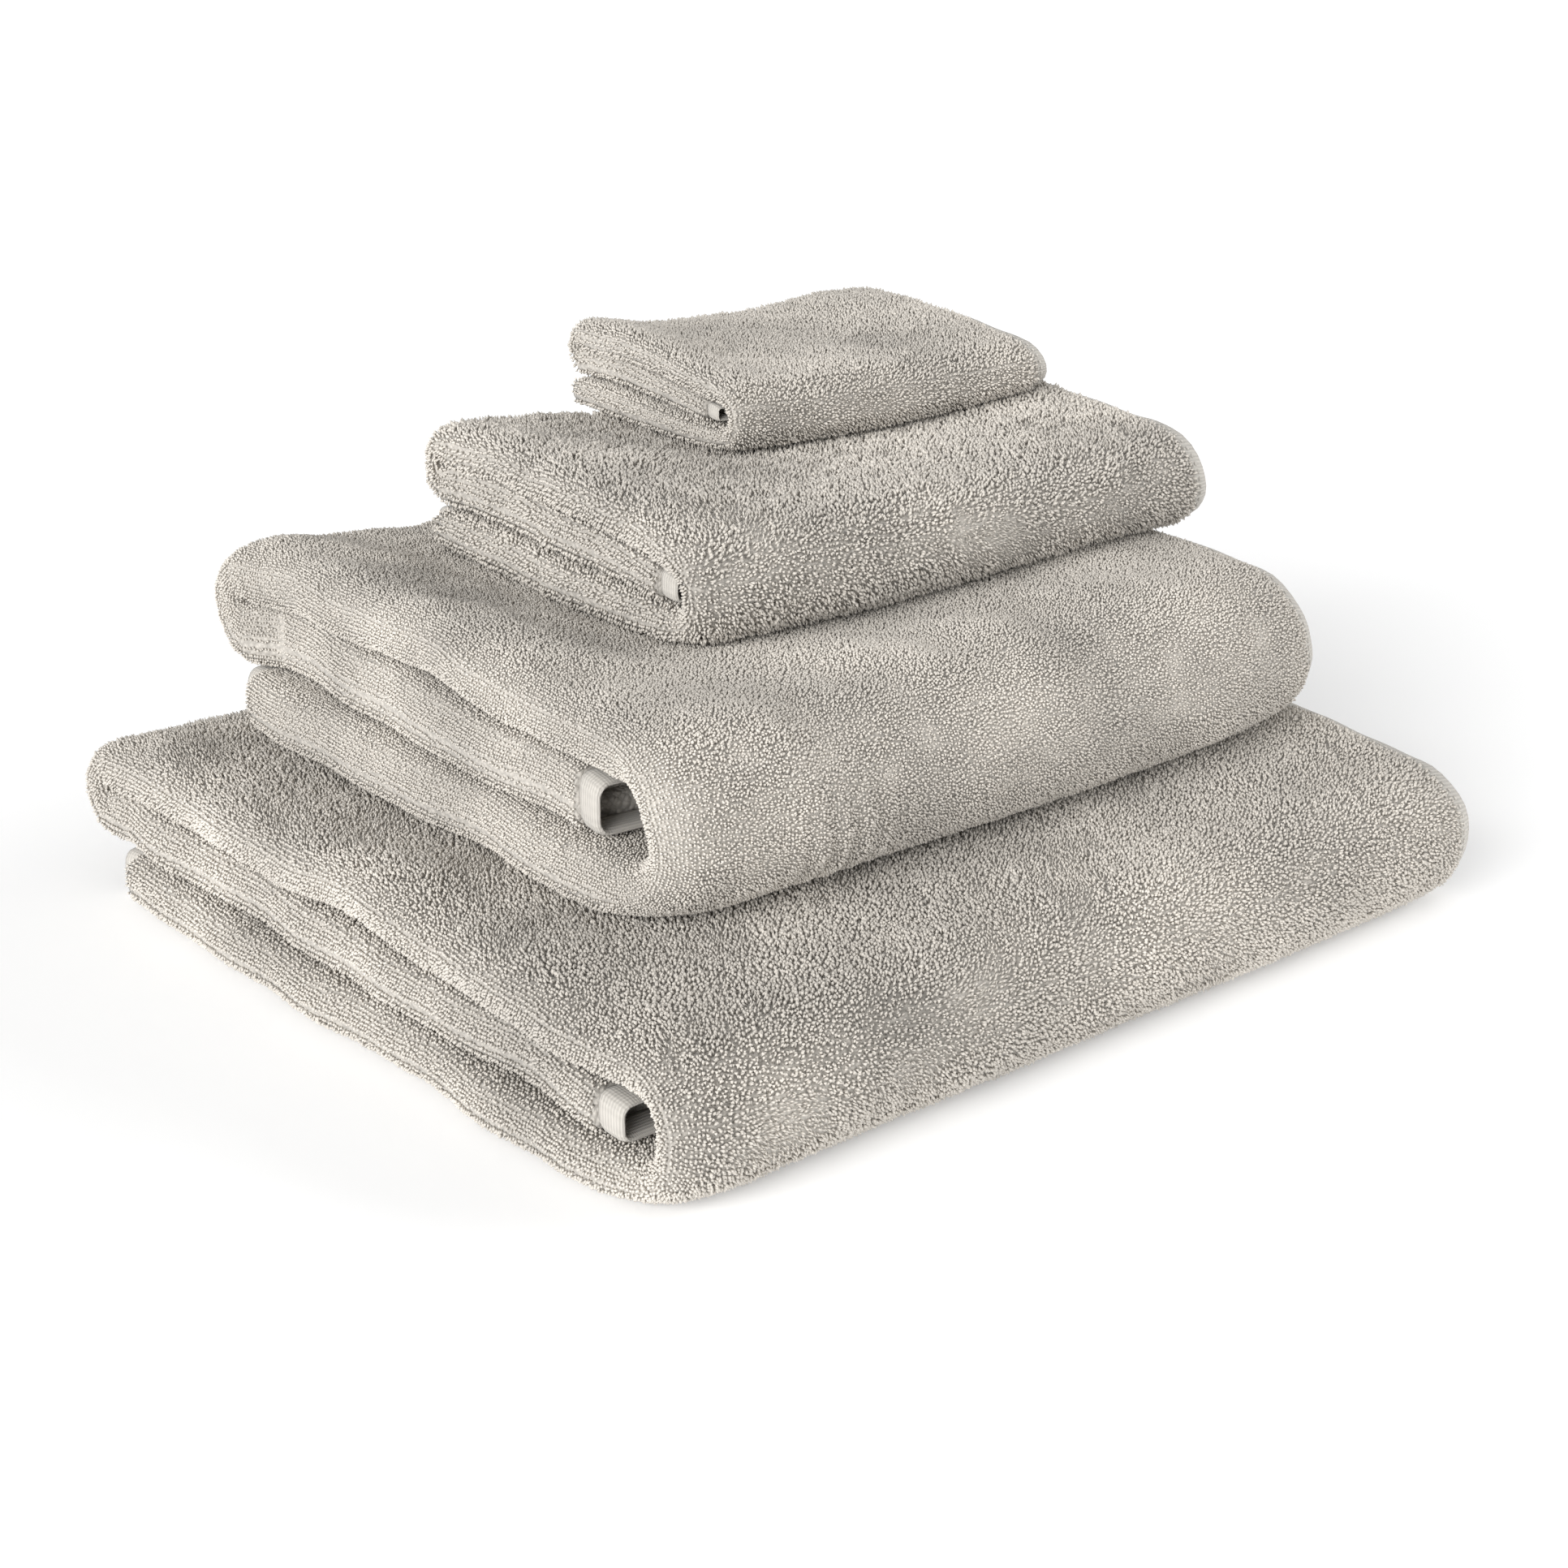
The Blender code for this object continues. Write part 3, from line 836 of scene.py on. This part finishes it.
def calculate(tree, operation, first, second=None, third=None):
    """Adds a Math node fed by sockets or numbers, and returns its output."""
    node = add_node(tree, "ShaderNodeMath", operation=operation)
    for slot, value in enumerate((first, second, third)):
        if value is None:
            continue
        if isinstance(value, (int, float)):
            node.inputs[slot].default_value = value
        else:
            tree.links.new(value, node.inputs[slot])
    return node.outputs[0]


def mix_colours(tree, share, first, second):
    """Adds a colour Mix node fed by sockets, and returns its output."""
    node = add_node(tree, "ShaderNodeMix", data_type="RGBA")
    tree.links.new(share, node.inputs["Factor"])
    tree.links.new(first, node.inputs["A"])
    tree.links.new(second, node.inputs["B"])
    return node.outputs["Result"]


def noise_at(tree, scale, detail=2.0):
    """Noise between 0 and 1 on Object coordinates, with so many features per metre."""
    place = tree.nodes.new("ShaderNodeTexCoord")
    noise = tree.nodes.new("ShaderNodeTexNoise")
    set_inputs(noise, Scale=scale, Detail=detail)
    tree.links.new(place.outputs["Object"], noise.inputs["Vector"])
    return noise.outputs["Fac"]


def lines_along(tree):
    """The cloth's own places along (run_s) and across (run_x) it, in metres."""
    return [add_node(tree, "ShaderNodeAttribute", attribute_name=key).outputs["Fac"]
            for key in ("run_s", "run_x")]


SHEEN_PATCH_SCALE, FIBRE_SCALE, SLUB_SCALE = 13.0, 1500.0, 220.0  # features per metre
SHEEN_PATCHES = (0.70, 0.65)  # painted sheen and shade over large patches, where the pile lies different ways: how much the brightness varies, and the least
TONES = (0.10, 0.95)  # each yarn's own brightness from one yarn to the next: how much it varies, and the least
SLUBS = (0.16, -0.08)  # the same for what the slubs add to a hem's brightness
RIB_SHADE = (0.26, 0.80)  # the same for painted shade, darker in a hem's valleys than on its ribs


def yarn_colour_group():
    """Yarn colour from root to crown: painted shade darkens the roots, each yarn has its own tone, and faint
    large patches of painted sheen and shade lighten and darken it.
    """
    group, given, out = new_group(
        "yarn_colour",
        [("Crown", "NodeSocketColor", (0.7, 0.7, 0.7, 1)), ("Root", "NodeSocketColor", (0.5, 0.5, 0.5, 1)),
         ("Lift", "NodeSocketFloat", 1.0), ("Tone", "NodeSocketFloat", 0.5)],
        [("Color", "NodeSocketColor"), ("Fibre", "NodeSocketFloat")],
    )
    # the lift mixes from the painted shade of the root to the crown
    share = calculate(group, "POWER", given.outputs["Lift"], 0.8)
    colour = mix_colours(group, share, given.outputs["Root"], given.outputs["Crown"])
    # large patches of painted sheen and shade, where the pile lies different ways
    patches = calculate(group, "MULTIPLY_ADD", noise_at(group, SHEEN_PATCH_SCALE), *SHEEN_PATCHES)
    own = calculate(group, "MULTIPLY_ADD", given.outputs["Tone"], *TONES)
    shade = calculate(group, "MULTIPLY", patches, own)
    scaled = add_node(group, "ShaderNodeVectorMath", operation="SCALE")
    group.links.new(colour, scaled.inputs[0])
    group.links.new(shade, scaled.inputs["Scale"])
    group.links.new(scaled.outputs[0], out.inputs["Color"])
    group.links.new(noise_at(group, FIBRE_SCALE, 3.0), out.inputs["Fibre"])
    return group


def looped_ground_group():
    """Ground cloth under the pile: close cells of yarn, with painted shade dark between them."""
    group, given, out = new_group(
        "looped_ground",
        [("Cells", "NodeSocketFloat", 420.0)],
        [("Lift", "NodeSocketFloat"), ("Tone", "NodeSocketFloat")],
    )
    cells = add_node(group, "ShaderNodeTexVoronoi", feature="F1")
    spot = group.nodes.new("ShaderNodeTexCoord")
    group.links.new(spot.outputs["Object"], cells.inputs["Vector"])
    group.links.new(given.outputs["Cells"], cells.inputs["Scale"])
    # the lift, 1 in a cell's middle and 0 at its edge, is the bump's height and sets the painted shade
    # between the cells
    lift = calculate(group, "MULTIPLY_ADD", cells.outputs["Distance"], -1.3, 1.0)
    group.links.new(calculate(group, "MAXIMUM", lift, 0.0), out.inputs["Lift"])
    split = group.nodes.new("ShaderNodeSeparateColor")
    group.links.new(cells.outputs["Color"], split.inputs[0])
    group.links.new(split.outputs[0], out.inputs["Tone"])
    return group


def flat_weave_group():
    """Flat weave: fine ribs across the hem crossed by finer weft threads, with slubs, and painted shade in
    the valleys between the ribs.
    """
    group, given, out = new_group(
        "flat_weave",
        [("Ribs", "NodeSocketFloat", 600.0), ("Wefts", "NodeSocketFloat", 1400.0)],
        [("Height", "NodeSocketFloat"), ("Shade", "NodeSocketFloat")],
    )
    ribs, wefts = (
        calculate(group, "SINE", calculate(
            group, "MULTIPLY", calculate(group, "MULTIPLY", line, given.outputs[key]), 2 * math.pi))
        for line, key in zip(lines_along(group), ("Ribs", "Wefts"))
    )
    both = calculate(group, "MULTIPLY_ADD", wefts, 0.35, ribs)
    height = calculate(group, "MULTIPLY_ADD", both, 0.35, 0.5)
    group.links.new(height, out.inputs["Height"])
    slubs = calculate(group, "MULTIPLY_ADD", noise_at(group, SLUB_SCALE), *SLUBS)
    # painted shade: the valleys darker than the ribs
    shade = calculate(group, "MULTIPLY_ADD", height, *RIB_SHADE)
    group.links.new(calculate(group, "ADD", shade, slubs), out.inputs["Shade"])
    return group


def start_cotton(name, roughness, sheen):
    """A new matt cotton material: its node tree and its rough shader with a soft sheen."""
    material = bpy.data.materials.new(name)
    material.use_nodes = True
    shader = material.node_tree.nodes["Principled BSDF"]
    set_inputs(shader, Roughness=roughness, Specular_IOR_Level=0.12, Sheen_Weight=sheen,
               Sheen_Roughness=0.55)
    return material.node_tree, shader


def raise_bump(tree, shader, height, strength, distance):
    """Feeds a height through a Bump node into the shader's normal."""
    bump = tree.nodes.new("ShaderNodeBump")
    set_inputs(bump, Strength=strength, Distance=distance)
    tree.links.new(height, bump.inputs["Height"])
    tree.links.new(bump.outputs["Normal"], shader.inputs["Normal"])


def group_node(tree, name, make):
    """Places a node group in a tree; the group of that name is made once."""
    group = bpy.data.node_groups[name] if name in bpy.data.node_groups else make()
    return add_node(tree, "ShaderNodeGroup", node_tree=group)


def yarn_node(tree, shader, crown, root):
    """Places the yarn colour with its two colours, the crown's and the root's painted shade, and feeds it to
    the shader's base colour.
    """
    yarn = group_node(tree, "yarn_colour", yarn_colour_group)
    set_inputs(yarn, Crown=(*crown, 1.0), Root=(*root, 1.0))
    tree.links.new(yarn.outputs["Color"], shader.inputs["Base Color"])
    return yarn


def finish(name, roughness, sheen, dress):
    """The cotton material of that name, made and dressed once."""
    if name not in bpy.data.materials:
        dress(bpy.context.scene.towel_colours, *start_cotton(name, roughness, sheen))
    return bpy.data.materials[name]


def pile_material():
    """Looped pile: painted shade darkens each loop towards its root, so it is lighter towards its crown, with
    a fine fibre surface.
    """
    def dress(colours, tree, shader):
        yarn = yarn_node(tree, shader, colours.crown, colours.root)
        for key, socket in (("lift", "Lift"), ("tone", "Tone")):
            read = add_node(tree, "ShaderNodeAttribute", attribute_name=key)
            tree.links.new(read.outputs["Fac"], yarn.inputs[socket])
        raise_bump(tree, shader, yarn.outputs["Fibre"], 0.35, 0.0004)

    return finish("terry pile", 0.92, 0.06, dress)


SHADED_GROUND_CROWN = 0.86  # brightness of the ground cloth against the pile, darkened as painted shade of the deep pile, on its cells of yarn
SHADED_GROUND_ROOT = 0.66  # and between them, where the painted shade is deepest


def ground_material():
    """Ground cloth of the terry, with a short covering of loops in its bump, and painted shade of the deep
    pile darkening its colour, most between the loops.
    """
    def dress(colours, tree, shader):
        cells = group_node(tree, "looped_ground", looped_ground_group)
        yarn = yarn_node(tree, shader, [SHADED_GROUND_CROWN * part for part in colours.crown],
                         [SHADED_GROUND_ROOT * part for part in colours.root])
        for socket in ("Lift", "Tone"):
            tree.links.new(cells.outputs[socket], yarn.inputs[socket])
        raise_bump(tree, shader, cells.outputs["Lift"], 0.8, 0.0012)

    return finish("terry ground", 0.95, 0.15, dress)


def hem_material():
    """Flat woven cotton tape of the hems, its colour darkened by painted shade in the weave's valleys."""
    def dress(colours, tree, shader):
        weave = group_node(tree, "flat_weave", flat_weave_group)
        scaled = add_node(tree, "ShaderNodeVectorMath", operation="SCALE")
        scaled.inputs[0].default_value = colours.hem
        tree.links.new(weave.outputs["Shade"], scaled.inputs["Scale"])
        tree.links.new(scaled.outputs[0], shader.inputs["Base Color"])
        raise_bump(tree, shader, weave.outputs["Height"], 0.7, 0.0005)

    return finish("flat hem", 0.85, 0.15, dress)


def thread_material():
    """Sewing thread, a little smoother and lighter than the hem."""
    def dress(colours, tree, shader):
        yarn = yarn_node(tree, shader, colours.thread, colours.thread)
        raise_bump(tree, shader, yarn.outputs["Fibre"], 0.3, 0.0002)

    return finish("sewing thread", 0.7, 0.1, dress)


# ------------------------------------------------------------------------------------ the operators


def ride_on(piece, place):
    """Fixes a piece to its towel's body."""
    name = TOWELS[place]
    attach(piece, name)


def outline_places(section, lip_points):
    """Places across a doubled cloth: fine near its edges and round its lip, even between."""
    reach = section.style["edge_reach"]
    flat = spread_run(0.0, section.flat, OUTLINE_STEP)
    edge = np.linspace(0.0, reach, EDGE_POINTS + 1)[:-1]
    flat = flat[(flat > reach + 0.002) & (flat < section.flat - LIP_INSETS[0] - 0.007)]
    flat = np.concatenate([edge, flat, section.flat - np.array(LIP_INSETS)])
    lip = section.flat + np.linspace(0.0, math.pi * section.mid, lip_points)
    return np.concatenate([flat, lip, (section.total - flat)[::-1]])


class FoldCloths(bpy.types.Operator):
    """Makes the folded ground cloth of every towel"""

    bl_idname = "towels.fold_cloths"
    bl_label = "Fold the cloths"

    def execute(self, context):
        for place, name in enumerate(TOWELS):
            towel = Towel(place)
            route = towel.terry_route()
            places = outline_places(towel.section, LIP_POINTS)
            half = towel.half_terry(route["s"][:, None], places[None, :])
            cloth = make_doubled(name + "_cloth", towel, route, places, half, -half, 0.0, ground_material())
            ride_on(cloth, place)
            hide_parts(name + "_terry")
        return {"FINISHED"}


OUTER_INSET, INNER_INSET = 0.008, 0.001  # how far the end hems' lips stand behind the cloth's lip
HEM_LEAST = 0.35  # share of an end tape's thickness that is left at its two edges
HEM_SINK = 0.0004  # how far the end tapes lie below the ground cloth's surface


class SewHems(bpy.types.Operator):
    """Makes the two end hems and the two side hems of every towel"""

    bl_idname = "towels.sew_hems"
    bl_label = "Sew the hems"

    def execute(self, context):
        for place, name in enumerate(TOWELS):
            towel = Towel(place)
            fold, section, hem_thick = towel.fold, towel.section, towel.hem_thick
            end_hem = fold.size["end_hem"]
            places = outline_places(section, HEM_LIP_POINTS)
            starts = (("outer", 0.0, OUTER_INSET), ("inner", fold.total - end_hem, INNER_INSET))
            for end, start, inset in starts:
                route = fold.route(HEM_STEP, start, start + end_hem)
                rounding = np.minimum(route["s"] - start, start + end_hem - route["s"]) / (hem_thick / 2)
                half = (hem_thick / 2 * quarter_round(rounding, HEM_LEAST))[:, None]
                outer = section.ply / 2 * section.edge_share(places)[None, :] - HEM_SINK
                middle = outer - hem_thick / 2
                hem = make_doubled(f"{name}_end_tape_{end}", towel, route, places, middle + half,
                                   middle - half, inset, hem_material())
                ride_on(hem, place)
                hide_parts(f"{name}_end_hem_{end}")
            for ply, sign in (("outer", 1), ("inner", -1)):
                hem = make_side_tape(f"{name}_side_tape_{ply}", towel, fold.route(TAPE_STEP), sign,
                                     hem_material())
                ride_on(hem, place)
                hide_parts(f"{name}_side_hem_{ply}")
        return {"FINISHED"}


class SewStitches(bpy.types.Operator):
    """Makes the rows of stitches along every towel's hems"""

    bl_idname = "towels.sew_stitches"
    bl_label = "Sew the stitches"

    def execute(self, context):
        for place, name in enumerate(TOWELS):
            towel = Towel(place)
            fold, section, width = towel.fold, towel.section, towel.fold.size["side_hem"]
            s = np.arange(STITCH_PITCH, fold.total - STITCH_PITCH, STITCH_PITCH)
            here = on_route(fold.route(HEM_STEP), s)
            middles, ways, normals = [], [], []
            for sign, inset in ((sign, inset) for sign in (1, -1) for inset in STITCH_INSETS):
                rise = section.mid + section.ply / 2 * section.edge_share(np.array([-inset]))[0]
                along = np.full((len(s), 1), fold.size["length"] - width + inset)
                lift = np.full((len(s), 1), sign * (rise + 0.4 * STITCH_THICK))
                middle = lay_out(towel, here, along, lift)[:, 0]
                above = lay_out(towel, here, along, lift + sign * 0.001)[:, 0]
                middles.append(middle)
                ways.append(unit(np.gradient(middle, axis=0)))
                normals.append(unit(above - middle))
            stitches = make_stitches(name + "_stitches", np.concatenate(middles), np.concatenate(ways),
                                     np.concatenate(normals), thread_material())
            ride_on(stitches, place)
        return {"FINISHED"}


LAY = (0.55, 0.45, 0.50, 0.50)  # how far the loops lean with the lay, one value per towel
PATCHY = (0.12, 0.10, 0.20, 0.12)  # how much higher and lower patches of the pile stand
HANG = (0.45, 0.35, 0.60, 0.30)  # how far the loops hang where the cloth stands upright
GAPS = (0.36, 0.18, 0.48, 0.34)  # how much narrower the loops are where the pile stands open
CALM = {"height": 0.80, "stray": 0.60, "gaps": 0.0}  # the smoother pile inside and round the lips
CALM_ZONES = ("lips", "folds")
ZONES = ("top_left", "top_right", "spine_left", "spine_right", "back", *CALM_ZONES)
COARSE = 2.0  # how much wider apart the loops stand under the towel above
COARSE_WIDTH, COARSE_HEIGHT = 1.8, 1.1


class RaisePile(bpy.types.Operator):
    """Makes the loops of pile on every towel's open faces and under the towel above"""

    bl_idname = "towels.raise_pile"
    bl_label = "Raise the pile"

    def execute(self, context):
        sizes = context.scene.towel_sizes
        for place, name in enumerate(TOWELS):
            draw = np.random.default_rng(100 + place)
            towel = Towel(place)
            route, size, spacing = towel.terry_route(), towel.fold.size, sizes.loop_spacing[place]
            roots, normals, rows, part, side = grow_pile(towel, route, spacing, draw)
            look = {
                "height": sizes.loop_height[place], "width": sizes.loop_width[place],
                "lay": LAY[place], "stray": sizes.stray[place], "patchy": PATCHY[place],
                "hang": HANG[place], "gaps": GAPS[place], "seed": 60 + place,
            }
            calm = dict(look, **{key: look[key] * share for key, share in CALM.items()})
            left_half = roots[:, 0] < size["left"] + 0.5 * size["length"]
            top, spine = (side > 0) & (part == 2), (side > 0) & (part == 1)
            masks = (top & left_half, top & ~left_half, spine & left_half, spine & ~left_half,
                     (side > 0) & ~top & ~spine, side == 0, side < 0)
            for zone, mask in zip(ZONES, masks):
                pile = make_loops(f"{name}_pile_{zone}", roots[mask], normals[mask], rows[mask],
                                  calm if zone in CALM_ZONES else look, draw, pile_material())
                ride_on(pile, place)
            if name == TOWELS[-1]:
                continue
            roots, normals, rows, _, _ = grow_pile(towel, route, spacing * COARSE, draw, under=True)
            wide = dict(look, width=look["width"] * COARSE_WIDTH, height=look["height"] * COARSE_HEIGHT)
            pile = make_loops(f"{name}_pile_under", roots, normals, rows, wide, draw, pile_material())
            ride_on(pile, place)
        return {"FINISHED"}


WHITE = (1.0, 1.0, 1.0, 1.0)
FLOOR_GLOW = 0.16
SKY_GLOW = 0.42
LAMPS = (  # name, place, spread in degrees and strength of each soft light
    ("key", (-2.8, -0.8, 0.68), 56.0, 5.6),
    ("fill", (2.9, -1.6, 0.40), 56.0, 3.7),
)
FLOOR_REACH = 14.0
CAMERA_PLACE = (-0.7666, -0.9057, 0.5060)
CAMERA_HEADING = 49.351  # degrees
CAMERA_PITCH = 20.889  # degrees
CAMERA_LENS = 63.53  # millimetres, on a sensor of 36


class SetStage(bpy.types.Operator):
    """Makes the floor, the lamps and the camera"""

    bl_idname = "towels.set_stage"
    bl_label = "Set the stage"

    def execute(self, context):
        scene = context.scene
        colours = scene.towel_colours
        corners = FLOOR_REACH * np.array([(-1, -1, 0), (1, -1, 0), (1, 1, 0), (-1, 1, 0)], dtype=float)
        floor = start_cotton("studio floor", 0.9, 0.0)[1]
        set_inputs(floor, Base_Color=(*colours.floor, 1.0), Emission_Color=WHITE,
                   Emission_Strength=FLOOR_GLOW)
        make_mesh("studio_floor", corners, [[(0, 1, 2, 3)]], bpy.data.materials["studio floor"])
        world = bpy.data.worlds.new("studio")
        world.use_nodes = True
        sky = world.node_tree.nodes["Background"]
        set_inputs(sky, Color=WHITE, Strength=SKY_GLOW)
        scene.world = world
        for name, place, spread, strength in LAMPS:
            light = bpy.data.lights.new(name, "SUN")
            light.angle = math.radians(spread)
            light.energy = strength
            lamp = bpy.data.objects.new(name, light)
            scene.collection.objects.link(lamp)
            aim_at(lamp, place, -np.array(place))
        camera = bpy.data.cameras.new("camera")
        camera.lens = CAMERA_LENS
        camera.sensor_width = 36.0
        camera.clip_start = 0.05
        eye = bpy.data.objects.new("camera", camera)
        scene.collection.objects.link(eye)
        heading, pitch = math.radians(CAMERA_HEADING), math.radians(CAMERA_PITCH)
        forward = (math.cos(heading) * math.cos(pitch), math.sin(heading) * math.cos(pitch), -math.sin(pitch))
        aim_at(eye, CAMERA_PLACE, forward)
        scene.camera = eye
        scene.view_settings.view_transform = "Standard"
        return {"FINISHED"}


def aim_at(item, place, direction):
    """Puts a lamp or camera at a place and turns it to face a direction, upright."""
    item.location = place
    item.rotation_mode = "QUATERNION"
    item.rotation_quaternion = Vector(direction).to_track_quat("-Z", "Y")


class TowelPanel(bpy.types.Panel):
    """Sidebar panel that lists the steps and the settings"""

    bl_idname = "VIEW3D_PT_towels"
    bl_label = "Bath Towel Set"
    bl_space_type = "VIEW_3D"
    bl_region_type = "UI"
    bl_category = "Towels"

    def draw(self, context):
        layout = self.layout
        for step in STEPS:
            layout.operator(step.bl_idname)
        for group in (context.scene.towel_sizes, context.scene.towel_colours):
            for key in group.__annotations__:
                layout.prop(group, key)


STEPS = (FoldCloths, SewHems, SewStitches, RaisePile, SetStage)
CLASSES = (TowelSizes, TowelColours) + STEPS + (TowelPanel,)


def register():
    """Registers the classes and hangs the settings on the scene."""
    for made in CLASSES:
        bpy.utils.register_class(made)
    bpy.types.Scene.towel_sizes = bpy.props.PointerProperty(type=TowelSizes)
    bpy.types.Scene.towel_colours = bpy.props.PointerProperty(type=TowelColours)


def unregister():
    """Takes the settings and the classes away again."""
    del bpy.types.Scene.towel_colours
    del bpy.types.Scene.towel_sizes
    for made in reversed(CLASSES):
        bpy.utils.unregister_class(made)


def declare_sheets():
    """Gathers the pieces that every cloth carries, and does nothing more with them."""
    for place, name in enumerate(TOWELS):
        pieces = [bpy.data.objects[f"{name}_{kind}_tape_{ply}"]
                  for kind in ("end", "side") for ply in ("outer", "inner")]
        pieces += [bpy.data.objects[f"{name}_pile_{zone}"] for zone in ZONES]
        pieces.append(bpy.data.objects[name + "_stitches"])
        if name != TOWELS[-1]:
            pieces.append(bpy.data.objects[name + "_pile_under"])


def main():
    """Registers the add-on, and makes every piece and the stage."""
    register()
    for step in STEPS:
        group, action = step.bl_idname.split(".")
        getattr(getattr(bpy.ops, group), action)()
    declare_sheets()


if __name__ == "__main__":
    main()
